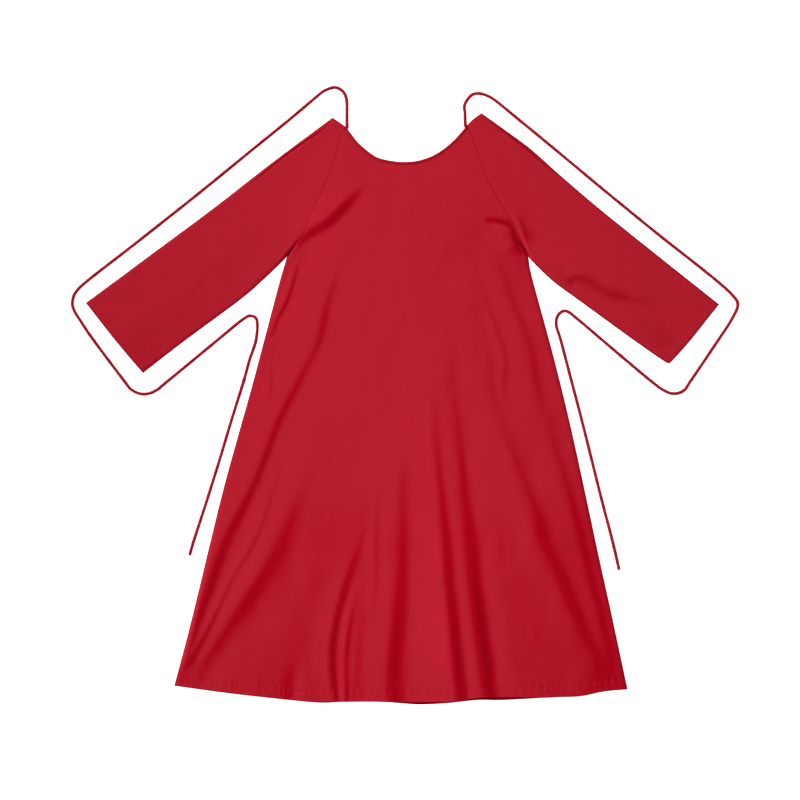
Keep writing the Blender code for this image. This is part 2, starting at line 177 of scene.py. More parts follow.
# Folds, each with its ridge on its line's right hand and its hollow on the left, which is the
# picture's right where the line runs down: line in millimetres, width of the steep side,
# reach of the ridge and of the hollow, drops along it
FALLS = {
    "side_left_top": ([(-195, 322), (-205, 297), (-215, 265), (-230, 217), (-253, 172), (-258, 137),
                       (-262, 97), (-262, 57), (-270, 0)],
                      12, 34, (0, 2.0, 2.6, 4.0, 2.4, 0.8, 1.0, 2.0, 0.5)),
    "hip_left": ([(-108, 335), (-119, 301), (-149, 217), (-167, 137), (-207, 57), (-247, -23),
                  (-277, -103), (-311, -183), (-351, -263), (-379, -343), (-407, -423),
                  (-435, -503)],
                 24, 90, (0, 1.4, 3.2, 2.4, 3.2, 3.7, 3.8, 4.8, 4.8, 5.4, 5.8, 4.0)),
    "left_small": ([(-239, -103), (-265, -183), (-295, -263), (-341, -343), (-379, -423),
                    (-421, -503)], 14, 30, (0.6, 1.4, 1.8, 2.0, 3.4, 3.4)),
    "left_wide": ([(-167, -103), (-211, -183), (-239, -263), (-283, -343), (-339, -423),
                   (-393, -503)], 40, (90, 140), (0.8, 1.8, 4.0, 6.2, 5.6, 4.4)),
    "small_left": ([(-73, -223), (-85, -273), (-109, -343), (-131, -423), (-140, -503),
                    (-129, -600)], 14, (56, 34), (0, 1.2, 3.2, 4.0, 4.2, 2.2)),
    "small_second": ([(-93, -363), (-105, -423), (-114, -503), (-112, -600)],
                     16, (18, 30), (0, 3.2, 3.0, 3.2)),
    "small_beside": ([(-79, -343), (-87, -423), (-91, -503), (-97, -600)],
                     34, 50, (0, 1.4, 2.0, 1.4)),
    "small_mid": ([(-49, -183), (-53, -263), (-53, -343), (-61, -423)], 14, 30, (0.5, 0.9, 0.9, 0)),
    "centre": ([(1, -63), (-1, -183), (-1, -263), (-3, -343), (-9, -423), (-18, -503), (-18, -600)],
               40, (90, 110), (1.2, 3.4, 4.2, 5.6, 7.6, 8.6, 5.4)),
    "flute": ([(63, 17), (71, -103), (79, -183), (87, -263), (93, -343), (102, -423), (110, -503),
               (121, -600)], 26, (130, 90), (0.8, 3.0, 4.2, 5.6, 7.8, 9.2, 11.0, 7.4)),
    "flute_right": ([(97, 127), (99, 57), (107, -23), (117, -103), (125, -183), (136, -263),
                     (144, -343), (154, -423), (166, -503), (178, -600)],
                    40, (150, 60), (0.4, 3.0, 4.2, 5.0, 6.6, 9.4, 12.6, 15.0, 14.2, 9.0)),
    "right_wide": ([(155, 237), (165, 137), (178, 37), (195, -23), (225, -103), (259, -183),
                    (283, -263), (319, -343), (353, -423), (391, -503)],
                   34, 90, (0.5, 0.9, 1.3, 2.0, 3.0, 4.2, 5.6, 6.6, 5.6, 3.2)),
    "right_middle": ([(157, 247), (182, 177), (207, 100), (203, 57), (208, 10)],
                     14, 30, (0, 1.1, 1.1, 1.1, 0.3)),
    "right_side": ([(180, 308), (192, 291), (206, 259), (217, 217), (251, 137), (267, 57),
                    (287, -23), (313, -103), (337, -183), (359, -263), (379, -343), (401, -423),
                    (421, -503)],
                   26, (50, 45), (0.2, 1.4, 2.2, 2.0, 2.0, 0.4, 1.8, 2.2, 2.8, 3.0, 3.4, 3.6, 2.4)),
    "left_drag": ([(-61, 461), (-97, 425), (-142, 379), (-177, 356), (-197, 343), (-213, 321),
                   (-227, 293), (-235, 257)], 28, (60, 70), (0, 2.4, 7.2, 8.4, 7, 5, 3, 1)),
    "right_forearm": ([(555, 217), (483, 214), (443, 222), (414, 230), (386, 247), (358, 261),
                       (340, 261), (318, 268)], 18, 50, (0, 0.7, 1.5, 2.8, 4.2, 4.6, 3.0, 0)),
    "left_forearm": ([(-363, 307), (-407, 250), (-456, 193)], 14, 40, (0, 0.7, 0)),
}

# Creases pressed in as troughs, or raised as ridges where the depth is below zero:
# line in millimetres, half width, depths along it
TROUGHS = {
    "right_armpit": ([(166, 377), (184, 372), (202, 368), (216, 362), (226, 353), (232, 341),
                      (239, 326), (245, 310)], 6, (0, 2.2, 3.6, 4.8, 5.4, 5.2, 4.4, 2.6)),
    "right_armpit_ridge": ([(208, 394), (223, 384), (234, 368), (241, 351), (246, 335)],
                           6, (0, -0.8, -1.4, -1.2, -0.3)),
    "right_armpit_rise": ([(176, 352), (200, 342), (216, 324), (227, 304)], 20, (0, -1.2, -2.0, -0.8)),
    "left_side_seam": ([(-223, 300), (-231, 268), (-244, 225), (-262, 165)], 4, (1.0, 0.8, 0.4, 0)),
    "left_notch": ([(-250, 156), (-262, 143), (-276, 130)], 5, (0, 1.2, 1.0)),
    "left_low_notch": ([(-270, 125), (-265, 78)], 6, (0.6, 0)),
    "forearm_hook": ([(317, 284), (327, 262), (338, 257)], 6, (0, 1.4, 0.6)),
    "right_cuff": ([(480, 165), (515, 147), (545, 120)], 22, (0, 1.2, 0)),
    "low_left": ([(-208, -495), (-216, -535), (-221, -590)], 15, (0, 1.3, 1.7)),
}

# Creases that run along the light and show only by painted shade:
# line in millimetres, half width, strengths along it
SHADES = {
    "right_forearm": ([(333, 252), (341, 261), (361, 261), (386, 247), (414, 230), (443, 222),
                       (484, 214), (520, 208)], 11, (0.2, 0.45, 0.45, 0.42, 0.3, 0.15, 0.1, 0)),
    "right_hook": ([(327, 262), (336, 254), (345, 250)], 6, (0, 0.6, 0)),
    "right_cuff": ([(495, 160), (523, 142), (546, 122)], 22, (0, 0.34, 0.1)),
    "right_armpit": ([(178, 379), (203, 370), (212, 367), (221, 357), (226, 344), (233, 328),
                      (239, 313)], 4.5, (0, 0.5, 0.8, 1.0, 1.0, 0.8, 0.4)),
    "right_armpit_hollow": ([(240, 362), (250, 350), (256, 334)], 11, (0, 0.35, 0.2)),
    "right_seam": ([(230, 343), (238, 328), (244, 319), (250, 307)], 1.9, (0, 1.2, 2.3, 2.5)),
    "left_seam": ([(-210, 338), (-215, 330), (-222, 318), (-229, 307)], 1.9, (0, 1.6, 2.4, 2.4)),
}
# Painted shade along the shoulder darts, for each millimetre of their groove's depth
DART_SHADE = 0.8
# How much darker the painted shade makes the cloth where its shade is 1
SHADE_DEPTH = 0.35
# Painted shade along the cloth's edges, and the painted shade and highlight of the front hem
EDGE_SHADE_REACH = 2.8 * MM
EDGE_SHADES = {"left": {"fold": 0.3, "under": 1.4, "cuff": 1.6, "body": 1.2},
               "right": {"fold": 1.6, "under": 2.2, "cuff": 2.2, "body": 1.2}}
HEM_EDGE_SHADE = 0.8
HEM_HIGHLIGHT = {"inside": 3.4 * MM, "width": 1.2 * MM, "strength": 0.35}
SEWN_SHADE = {"width": 2.2 * MM, "strength": 0.14, "uneven": 0.8}

# The ties' routes over the table, in millimetres, from the neck binding to their free ends
TIES = {
    "left": [(-110.3, 559), (-111.2, 569), (-111.3, 595), (-112, 617.5), (-119, 634), (-135, 642.5),
             (-155, 636.5), (-170, 625.5), (-227, 577.5), (-301, 517.5), (-404, 433.5),
             (-510, 349.5), (-556, 313.5), (-628, 257.5), (-653, 233.5), (-660, 213.5),
             (-657, 197.5), (-645, 177.5), (-618, 137.5), (-558, 57.5), (-541, 37.5),
             (-519, 29.5), (-495, 35.5), (-467, 57.5), (-370, 137.5), (-321, 177.5),
             (-303, 186), (-291, 175.5), (-293, 137.5), (-306, 97.5), (-317, 57.5),
             (-342, -22.5), (-366, -102.5), (-391, -182.5), (-417, -262.5), (-426, -293.5)],
    "right": [(126.6, 561), (125.2, 571), (124.6, 591), (124, 607.5), (136, 625.5), (151, 630.5),
              (170, 625.5), (189, 613.5), (233, 577.5), (306, 517.5), (407, 433.5),
              (510, 349.5), (571, 301.5), (626, 257.5), (659, 227.5), (670, 207.5),
              (657, 177.5), (631, 137.5), (577, 57.5), (563, 37.5), (545, 30.5),
              (525, 35.5), (494, 57.5), (399, 137.5), (352, 177.5), (327, 195.5),
              (311, 187.5), (307, 167.5), (316, 137.5), (337, 57.5), (358, -22.5),
              (378, -102.5), (398, -182.5), (419, -262.5), (433, -322.5)],
}
# Where each tie is pieced together, and how long and how much thicker the place is
TIE_JOINS = {"left": (-317, 56), "right": (436, 104)}
TIE_JOIN_REACH = 5 * MM
TIE_JOIN_SWELL = 0.22

# Colours, linear
RED = (0.4085, 0.0104, 0.0224, 1)
TIE_RED = (0.343, 0.0098, 0.021, 1)
BINDING_RED = (0.3935, 0.010, 0.0218, 1)
THREAD_RED = (0.3885, 0.0108, 0.0235, 1)
# Painted shade: cloth turned away from the key light or lying in a crease is painted deeper red:
# the share of each colour kept there, and how far it turns away before it is at its deepest
DEEP_SHARES = (1.0, 0.02, 0.42)
DEEP_TURN = 0.088
# How strongly this shows on the body, the sleeves and the trim, and the little that is added
# towards the hem, between two heights up the dress
DEEP_STRENGTH = {"body": 1.0, "sleeve": 0.5, "trim": 0.4}
DEEP_LOW = {"share": 0.42, "from": -120 * MM, "to": -280 * MM}
FLOOR = (0.92, 0.92, 0.92, 1)
FLOOR_GLOW = 0.95
FLOOR_REACH = 12.0

# Cloth's surface, and its weave in shares of brightness
CLOTH_SURFACE = {"Sheen Weight": 0.01, "Sheen Roughness": 0.5, "Sheen Tint": (1.0, 0.55, 0.55, 1),
                 "Specular IOR Level": 0.03}
THREAD_PITCH = 0.6 * MM
THREAD_SHADE = 0.03
SLUB_SHADE = 0.10
MOTTLE_SHADE = 0.10
CLOUD_SHADE = 0.06
SLUB_SCALES = (900, 22, 1)
# Turns the threads of a strip that is cut on the bias
BIAS = np.array([[0.7, 0.7], [-0.7, 0.7]])

# The photograph's view: straight down, with its middle a little off the dress's
VIEW_MIDDLE = (-5 * MM, 17.5 * MM)
VIEW_WIDTH = 1.6
LENS = 120
SENSOR = 36

# Light
KEY = {"strength": 5.63, "azimuth": 147, "elevation": 27, "spread": 54}
OVERHEAD = {"power": 1.72, "width": 0.35, "length": 1.49, "place": (0.0, 0.082, 0.6)}
SKY = 0.10


# Plane curves

def spline(knots, steps):
    """A Catmull-Rom curve through the knots, with the given number of steps a stretch."""
    ends = np.vstack([2 * knots[0] - knots[1], knots, 2 * knots[-1] - knots[-2]])
    stretches = []
    for a, b, c, d in zip(ends, ends[1:], ends[2:], ends[3:]):
        t = np.linspace(0, 1, steps, endpoint=False)[:, None]
        linear = (c - a) * t
        square = (2 * a - 5 * b + 4 * c - d) * t ** 2
        cube = (3 * b - a - 3 * c + d) * t ** 3
        stretches.append(b + 0.5 * (linear + square + cube))
    stretches.append(knots[-1:])
    return np.vstack(stretches)


def lengths_along(path):
    return np.concatenate([[0], np.cumsum(np.linalg.norm(np.diff(path, axis=0), axis=1))])


def at_fractions(path, fractions):
    run = lengths_along(path)
    where = np.asarray(fractions) * run[-1]
    return np.stack([np.interp(where, run, path[:, k]) for k in range(path.shape[1])], axis=1)


def resample(path, count):
    return at_fractions(path, np.linspace(0, 1, count))


def smooth_curve(points, samples=SAMPLES):
    """Evenly spaced points in metres on a smooth curve through a row of millimetre points."""
    return resample(spline(np.array(points, float) * MM, SPLINE_STEPS), samples)


def offset(path, distance):
    """The path moved sideways, to the left of its direction for a positive distance."""
    direction = np.gradient(path, axis=0)
    direction /= np.linalg.norm(direction, axis=1)[:, None]
    left = np.stack([-direction[:, 1], direction[:, 0]], axis=1)
    return path + np.reshape(distance, (-1, 1)) * left


def joined(first, second):
    return np.vstack([first, second[1:]])


def gap_to(points, path):
    """Distance from each point to a path, signed distance beside it and the share along it."""
    gap = np.full(len(points), np.inf)
    beside = np.zeros(len(points))
    along = np.zeros(len(points))
    for index, (start, end) in enumerate(zip(path, path[1:])):
        run = end - start
        length = np.linalg.norm(run)
        place = np.clip((points - start) @ run / length ** 2, 0, 1)
        here = np.linalg.norm(points - start - place[:, None] * run, axis=1)
        side = (run[0] * (points[:, 1] - start[1]) - run[1] * (points[:, 0] - start[0])) / length
        nearer = here < gap
        gap[nearer] = here[nearer]
        beside[nearer] = side[nearer]
        along[nearer] = (index + place[nearer]) / (len(path) - 1)
    return gap, beside, along


def ease(share):
    share = np.clip(share, 0, 1)
    return share * share * (3 - 2 * share)


def bell(distance, width):
    """1 at no distance, and next to 0 past twice the width."""
    return np.exp(-(distance / width) ** 2)


def along_values(along, values):
    """A table's values in millimetres, read at shares of the way along its line."""
    return np.interp(along, np.linspace(0, 1, len(values)), values) * MM


NECK = smooth_curve(NECKLINE)
RAGLAN = {"left": smooth_curve(LEFT_RAGLAN), "right": smooth_curve(RIGHT_RAGLAN)}
SIDE = {"left": smooth_curve(LEFT_SIDE), "right": smooth_curve(RIGHT_SIDE)}
HEM_EDGE = smooth_curve(HEM)


# Height of the cloth

def folded_edges():
    """The edges along which the front and back layers meet: sleeve folds, underarms and sides."""
    for side, sleeve in SLEEVES.items():
        under = smooth_curve(sleeve["underarm"], CREASE_SAMPLES)
        yield side, smooth_curve(sleeve["fold"], FOLD_SAMPLES)
        yield side, joined(under[::-1], resample(SIDE[side], FOLD_SAMPLES))


def falls(points):
    height = np.zeros(len(points))
    for line, width, reach, drops in FALLS.values():
        gap, beside, along = gap_to(points, smooth_curve(line, FOLD_SAMPLES))
        ridge_reach, hollow_reach = np.broadcast_to(reach, 2)
        fade = np.clip(1 - gap / MM / np.where(beside < 0, ridge_reach, hollow_reach), 0, 1) ** 2
        across = RIDGE_SHARE - 0.5 - 0.5 * np.tanh(2 * beside / (width * MM))
        height += along_values(along, drops) * across * fade
    return height


def troughs(points):
    height = np.zeros(len(points))
    for line, width, depths in TROUGHS.values():
        gap, _, along = gap_to(points, smooth_curve(line, CREASE_SAMPLES))
        height -= along_values(along, depths) * bell(gap, width * MM)
    return height


def uneven(points, pitch, seed):
    """Smooth seeded unevenness from -1 to 1 over the plane, with bumps about a pitch apart."""
    lattice = np.random.default_rng(seed).uniform(-1, 1, (LATTICE, LATTICE))
    spot = points / pitch + (LATTICE - 1) / 2
    cell = np.floor(spot).astype(int)
    share = ease(spot - cell)
    x, y = (cell % (LATTICE - 1)).T
    across, up = share[:, 0], share[:, 1]
    low = lattice[x, y] * (1 - across) + lattice[x + 1, y] * across
    high = lattice[x, y + 1] * (1 - across) + lattice[x + 1, y + 1] * across
    return low * (1 - up) + high * up


def ripples(points):
    """The cloth's faint unevenness, longer down the dress than across it."""
    stretched = points * np.array([1.0, 0.45])
    turned = points @ np.array([[0.8, 0.6], [-0.6, 0.8]])
    return (0.55 * uneven(stretched, 34 * MM, 3) + 0.2 * uneven(stretched, 15 * MM, 5)
            + 0.45 * uneven(turned, 52 * MM, 8)) * RIPPLE


def sleeve_share(points):
    """From 0 on the body to 1 well out on a sleeve."""
    share = np.zeros(len(points))
    for side, outward in (("left", -1), ("right", 1)):
        gap, beside, _ = gap_to(points, resample(RAGLAN[side], SEAM_SAMPLES))
        share = np.maximum(share, np.where(outward * beside > 0, ease(gap / SLEEVE_REACH), 0))
    return share


def shades(points):
    """Painted shade in the cloth's creases, in the measure of SHADE_DEPTH."""
    shade = np.zeros(len(points))
    for line, width, strengths in SHADES.values():
        gap, _, along = gap_to(points, smooth_curve(line, CREASE_SAMPLES))
        shade += along_values(along, strengths) / MM * bell(gap, width * MM)
    return shade


def edge_shade(distance, strength):
    """The painted shade along a cloth's edge."""
    return strength * np.clip(1 - distance / EDGE_SHADE_REACH, 0, 1)


def hem_shade(from_edge, run):
    """The front hem's painted shade at its edge and uneven stitches, and painted highlight inside it.
    """
    edge_highlight = HEM_HIGHLIGHT["strength"] * bell(from_edge - HEM_HIGHLIGHT["inside"], HEM_HIGHLIGHT["width"])
    stitch_line_shade = 1 + SEWN_SHADE["uneven"] * pucker(run, HEM_PUCKER)
    stitch_line_shade *= SEWN_SHADE["strength"] * bell(from_edge - HEM_DEPTH, SEWN_SHADE["width"])
    return edge_shade(from_edge, HEM_EDGE_SHADE) - edge_highlight + stitch_line_shade


def cuff_lift(points):
    lift = np.zeros(len(points))
    for sleeve in SLEEVES.values():
        middle = smooth_curve(sleeve["cuff"], 3)[1]
        lift += CUFF_LIFT * bell(np.linalg.norm(points - middle, axis=1), CUFF_LIFT_REACH)
    return lift


def loft_height(points):
    """How far the front lies above its lowest place, at points in the plane."""
    gaps = [(gap_to(points, edge)[0], np.interp(points[:, 1], LOFT_REACH_GROWS, LOFT_REACH[side]))
            for side, edge in folded_edges()]
    to_edge = np.min([gap for gap, _ in gaps], axis=0)
    share = np.min([gap / reach for gap, reach in gaps], axis=0)
    to_neck = gap_to(points, resample(NECK, FOLD_SAMPLES))[0]
    calm = NECK_LOFT_SHARE + (1 - NECK_LOFT_SHARE) * ease(to_neck / NECK_REACH)
    calm *= 1 - (1 - SLEEVE_LOFT_SHARE) * sleeve_share(points)
    body = LOFT * (1 - np.exp(-share ** LOFT_POWER)) * calm
    clear = ease(to_edge / FOLD_EDGE_REACH)
    folded = falls(points) + troughs(points) + ripples(points) + cuff_lift(points)
    height = body + folded * clear
    lowest = LEAST_LOFT * clear
    soft = SOFT_FLOOR * clear + SOFT_EDGE
    return lowest + soft * np.logaddexp(0, (height - lowest) / soft)


def underarm_share(points, side):
    """From 1 at the underarm corner of a side down to 0 well away from it."""
    return bell(np.linalg.norm(points - RAGLAN[side][-1], axis=1), UNDERARM_REACH)


def seam_dip(points):
    """The valley along both raglan seams, which deepens into the underarm."""
    dip = np.zeros(len(points))
    for side, seam in RAGLAN.items():
        gap = gap_to(points, resample(seam, SEAM_SAMPLES))[0]
        tuck = underarm_share(points, side)
        dip += (SEAM_DIP + UNDERARM_TUCK * tuck) * bell(gap, SEAM_WIDTH * (1 + 0.5 * tuck))
    return dip


def dart_dip(points):
    dip = np.zeros(len(points))
    for line, depths in DARTS:
        gap, _, along = gap_to(points, smooth_curve(line, FOLD_SAMPLES))
        dip += along_values(along, depths) * bell(gap, DART_WIDTH)
    return dip


def front_top(points):
    """Height above the table of the front's outer surface."""
    height = FRONT_TOP + loft_height(points) - seam_dip(points) - dart_dip(points)
    return np.maximum(height, LOWEST_FRONT)


def pucker(run, form):
    """Uneven waves along a stitched line, from -1 to 1."""
    turn = 2 * np.pi * run / form["pitch"]
    wander = 1.9 * np.sin(turn * 0.13 + 1) + 1.1 * np.sin(turn * 0.31 + 2)
    strength = 0.65 + 0.35 * np.sin(turn * 0.19) * np.sin(turn * 0.083 + 0.7)
    return np.sin(turn + wander) * strength


def hem_relief(from_edge, run, depth, form):
    """The doubled hem, the dip under its stitches and the puckers on both sides of them."""
    doubled = HEM_FOLD * ease((depth - from_edge) / HEM_FOLD_WIDTH + 0.5)
    sunk = HEM_GROOVE * bell(from_edge - depth, HEM_GROOVE_WIDTH)
    near = bell(from_edge - depth, form["reach"])
    rolled = HEM_ROLL * np.exp(-from_edge / HEM_ROLL_REACH)
    return doubled - sunk - rolled + form["height"] * pucker(run, form) * near


# Meshes

def grid_quads(rows, columns, closed=False):
    """Faces of a grid of points, facing up where rows run down and columns run to the right."""
    index = np.arange(rows * columns).reshape(rows, columns)
    if closed:
        index = np.hstack([index, index[:, :1]])
    quads = np.stack([index[:-1, :-1], index[1:, :-1], index[1:, 1:], index[:-1, 1:]], axis=-1)
    return quads.reshape(-1, 4)


def placed(name, data):
    item = bpy.data.objects.new(name, data)
    bpy.context.scene.collection.objects.link(item)
    return item


def tube_faces(rings, sides):
    """Faces of a tube of rings of points, closed at both ends."""
    ends = [list(range(sides))[::-1], list(range((rings - 1) * sides, rings * sides))]
    return grid_quads(rings, sides, closed=True).tolist() + ends


def add_piece(name, points, faces, finish, slot, grain, shade=None, wall=None):
    """A mesh piece with thread directions, painted shade and a painted deeper red as attributes."""
    mesh = bpy.data.meshes.new(name)
    mesh.from_pydata(points.tolist(), [], [list(face) for face in faces])
    threads = mesh.attributes.new("grain", "FLOAT_VECTOR", "POINT")
    threads.data.foreach_set("vector", np.hstack([grain, np.zeros((len(grain), 1))]).ravel())
    shade = np.zeros(len(points)) if shade is None else shade
    mesh.attributes.new("shade", "FLOAT", "POINT").data.foreach_set("value", shade)
    mesh.materials.append(finish)
    mesh.shade_smooth()
    kind = "trim" if slot == "trim" else "sleeve" if name.startswith("sleeve") else "body"
    # Painted shade: how much deeper red each point is painted
    deep = deepness(mesh, points, shade, DEEP_STRENGTH[kind])
    mesh.attributes.new("deep", "FLOAT", "POINT").data.foreach_set("value", deep)
    piece = placed(name, mesh)
    if wall:
        solid = piece.modifiers.new("cloth", "SOLIDIFY")
        solid.thickness = wall
        solid.offset = -1.0
    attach(piece, "root")
    return piece


def towards_key():
    turn, rise = np.radians(KEY["azimuth"]), np.radians(KEY["elevation"])
    return np.array([np.cos(turn) * np.cos(rise), np.sin(turn) * np.cos(rise), np.sin(rise)])


def deepness(mesh, points, shade, strength):
    """From 0 to 1 where cloth turns away from the key light, lies in a crease or nears the hem."""
    normals = np.empty(3 * len(mesh.vertices))
    mesh.vertex_normals.foreach_get("vector", normals)
    normals = normals.reshape(-1, 3)
    to_key = towards_key()
    # Painted shade: a deeper red where the cloth turns away from the key light
    away = (to_key[2] - normals @ to_key) / DEEP_TURN
    down = (DEEP_LOW["from"] - points[:, 1]) / (DEEP_LOW["from"] - DEEP_LOW["to"])
    low = DEEP_LOW["share"] * ease(down)
    return np.clip((np.where(normals[:, 2] > 0, away, 0) + low) * strength + shade, 0, 1)


def filled(top, bottom, left, right, across, down):
    """Plane points that fill four edges, at given shares across and down."""
    across = np.asarray(across)[None, :, None]
    down = np.asarray(down)[:, None, None]
    ruled = (1 - down) * top[None] + down * bottom[None]
    sided = (1 - across) * left[:, None] + across * right[:, None]
    first = ((1 - across) * top[0] + across * top[-1]) * (1 - down)
    last = ((1 - across) * bottom[0] + across * bottom[-1]) * down
    return ruled + sided - first - last


def relaxed(plan, across, down, rounds=500):
    """Plane points evened out between their edges, so that no cell folds over in a blunt corner."""
    before, after = np.diff(across)[:-1], np.diff(across)[1:]
    above, below = np.diff(down)[:-1, None], np.diff(down)[1:, None]
    pulls = [1 / before / (before + after), 1 / after / (before + after),
             1 / above / (above + below), 1 / below / (above + below)]
    pulls = [np.broadcast_to(pull, (len(down) - 2, len(across) - 2))[..., None] for pull in pulls]
    for _ in range(rounds):
        neighbours = (plan[1:-1, :-2], plan[1:-1, 2:], plan[:-2, 1:-1], plan[2:, 1:-1])
        plan[1:-1, 1:-1] = sum(pull * near for pull, near in zip(pulls, neighbours)) / sum(pulls)
    return plan


def neck_band(distance):
    """The neckline moved into the cloth by a distance and ended at the two raglan seams."""
    moved = offset(resample(NECK, 1500), -distance)
    left = np.interp(moved[:, 1], RAGLAN["left"][::-1, 1], RAGLAN["left"][::-1, 0])
    right = np.interp(moved[:, 1], RAGLAN["right"][::-1, 1], RAGLAN["right"][::-1, 0])
    inside = (moved[:, 0] > left + SEAM_GAP) & (moved[:, 0] < right - SEAM_GAP)
    return moved[inside]


def lifted_hem(path):
    """The front hem, which its flutes draw up."""
    lift = np.zeros(len(path))
    for across, half_width, height in HEM_LIFTS:
        lift += height * MM * bell(path[:, 0] / MM - across, half_width)
    return path + np.stack([np.zeros(len(path)), lift], axis=1)


def body_plan(neck_edge, hem_edge, across, down, underarm_gap):
    """Plane points of a body panel at shares across it and down it."""
    top = at_fractions(neck_edge, across)
    edges = []
    for side, inward, start in (("left", 1, top[0]), ("right", -1, top[-1])):
        edge = joined(RAGLAN[side], SIDE[side])
        to_corner = np.linalg.norm(edge - SIDE[side][0], axis=1)
        gap = SEAM_GAP + underarm_gap * bell(to_corner, UNDERARM_GAP_REACH)
        edge = offset(edge, inward * gap)
        edges.append(np.vstack([start, edge[edge[:, 1] < start[1] - MM]]))
    bottom = at_fractions(hem_edge, across)
    bottom[0], bottom[-1] = edges[0][-1], edges[1][-1]
    left, right = (at_fractions(edge, down) for edge in edges)
    return filled(top, bottom, left, right, across, down)


def side_roll(points):
    """How far a body panel's sides roll down to meet the other panel, and their painted shade."""
    gaps = {side: gap_to(points, resample(SIDE[side], SEAM_SAMPLES))[0] for side in SIDE}
    share = np.clip(1 - np.minimum(gaps["left"], gaps["right"]) / EDGE_ROUND, 0, 1)
    shade = sum(edge_shade(gap, EDGE_SHADES[side]["body"]) for side, gap in gaps.items())
    return (1 - np.sqrt(1 - share ** 2)) * SIDE_ROLL, shade


def dense_edges(count, near=(0.0, 0.0018, 0.0045, 0.0085, 0.0135, 0.02)):
    """Shares from 0 to 1, closer together near both ends."""
    near = np.array(near)
    return np.concatenate([near, np.linspace(near[-1], 1 - near[-1], count)[1:-1], 1 - near[::-1]])


STRIP_SHARE = 0.028
PANEL_DOWN = np.concatenate([[0, 0.0012, 0.0026, 0.0045], np.linspace(0.007, 1 - STRIP_SHARE, 222)])
STRIP_DOWN = np.linspace(1 - STRIP_SHARE, 1, 22)


def front(finish):
    """The front panel down to its hem, and the hem with its puckers as a finer strip."""
    pieces = []
    neck = neck_band(BINDING_WIDTH)
    for name, across, down in (("front", dense_edges(198), PANEL_DOWN),
                               ("front_hem", dense_edges(560), STRIP_DOWN)):
        plan = body_plan(neck, lifted_hem(HEM_EDGE), across, down, UNDERARM_GAP)
        points = plan.reshape(-1, 2)
        rolled, side_shade = side_roll(points)
        height = front_top(points) - rolled
        # Painted shade in the creases and along the sides
        shade = shades(points) + side_shade
        if name == "front_hem":
            from_edge = gap_to(points, resample(lifted_hem(HEM_EDGE), HEM_SAMPLES))[0]
            height += hem_relief(from_edge, points[:, 0], HEM_DEPTH, HEM_PUCKER)
            # Painted shade and a painted highlight along the hem
            shade += hem_shade(from_edge, points[:, 0])
        faces = grid_quads(len(down), len(across))
        pieces.append(add_piece(name, np.column_stack([points, height]), faces, finish, "cloth",
                                points, shade, CLOTH))
        sharpen(pieces[-1], len(down), len(across), name == "front")
    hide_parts("front_panel")
    return pieces


def back(finish):
    """The back panel and its hem, flat on the table, with its own soft creases."""
    pieces = []
    neck = neck_band(BACK_NECK_DROP)
    for name, across, down in (("back", dense_edges(110), PANEL_DOWN[::2]),
                               ("back_hem", dense_edges(400), STRIP_DOWN[::2])):
        down = np.append(down, [1 - STRIP_SHARE if name == "back" else 1])
        plan = body_plan(neck, HEM_EDGE, across, np.unique(down), -UNDERARM_GAP)
        points = plan.reshape(-1, 2)
        height = BACK_LIE + CLOTH + back_creases(points)
        if name == "back_hem":
            from_edge = gap_to(points, resample(HEM_EDGE, HEM_SAMPLES))[0]
            run = points[:, 0] + BACK_PUCKER_SHIFT
            relief = hem_relief(from_edge, run, HEM_DEPTH, HEM_PUCKER)
            height += 0.5 * np.maximum(relief, 0)
        # Painted shadow where the back hem lies in the front's shade
        from_middle = (points[:, 0] - BACK_HEM_SHADE["middle"]) / BACK_HEM_SHADE["reach"]
        shade = BACK_HEM_SHADE["strength"] * np.exp(-from_middle ** 4)
        faces = grid_quads(*plan.shape[:2])
        pieces.append(add_piece(name, np.column_stack([points, height]), faces, finish, "cloth",
                                points, shade if name == "back_hem" else None, CLOTH))
        sharpen(pieces[-1], *plan.shape[:2], name == "back")
    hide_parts("back_panel")
    return pieces


def sharpen(piece, rows, columns, last):
    """Keeps a panel's shading even up to the row where its hem strip meets it."""
    first = (rows - 1) * columns if last else 0
    for edge in piece.data.edges:
        if all(first <= vertex < first + columns for vertex in edge.vertices):
            edge.use_edge_sharp = True


def back_creases(points):
    """Long soft creases that lift the back a little off the table, where the front leaves room."""
    waves = 0.5 + 0.5 * uneven(points * np.array([1.0, 0.16]), 46 * MM, 21)
    fine = 0.5 + 0.5 * uneven(points * np.array([1.0, 0.3]), 21 * MM, 23)
    room = np.clip((loft_height(points) - 1.2 * MM) / (4 * MM), 0, 1)
    return room * (0.9 * waves ** 2 + 0.4 * fine ** 3) * MM


# Sleeves

FOLD_STOPS = np.array([0, 0.25, 0.7, 1.3, 2.0, 2.8, 3.5, 4.2, 4.9, 5.6, 6.3, 7.0, 7.8, 8.8, 10.2,
                       12.4, 15.5]) * MM
UNDER_STOPS = np.array([0, 0.25, 0.7, 1.3, 2.0, 3.0, 4.5, 7.0, 10]) * MM
RAGLAN_STOPS = np.array([0, 0.7, 1.4, 2.2, 3.2, 4.6, 7, 10.5, 15]) * MM
CUFF_STOPS = np.array([0, 0.5, 1.3, 3, 5.5, 8, 10, 11.2, 12, 12.6, 13.2, 13.9, 14.8, 16.5, 19,
                       23]) * MM
SLEEVE_STEPS = {"across": 3.2 * MM, "down": 5.6 * MM}
NECK_PART_SAMPLES = 30
# How far the weave of a sleeve's underside is moved, so that it isn't the upper side's again
UNDERSIDE_GRAIN = 3.0


def stops(length, first, last, step):
    """Shares along a length: given places near both ends, and even steps between them."""
    count = int((length - first[-1] - last[-1]) / step) + 2
    middle = np.linspace(first[-1], length - last[-1], count)[1:-1]
    return np.concatenate([first, middle, length - last[::-1]]) / length


def quarter_round(distance):
    """From 0 at a folded edge to 1 where the cloth has turned flat."""
    return np.sqrt(1 - (1 - np.clip(distance / EDGE_ROUND, 0, 1)) ** 2)


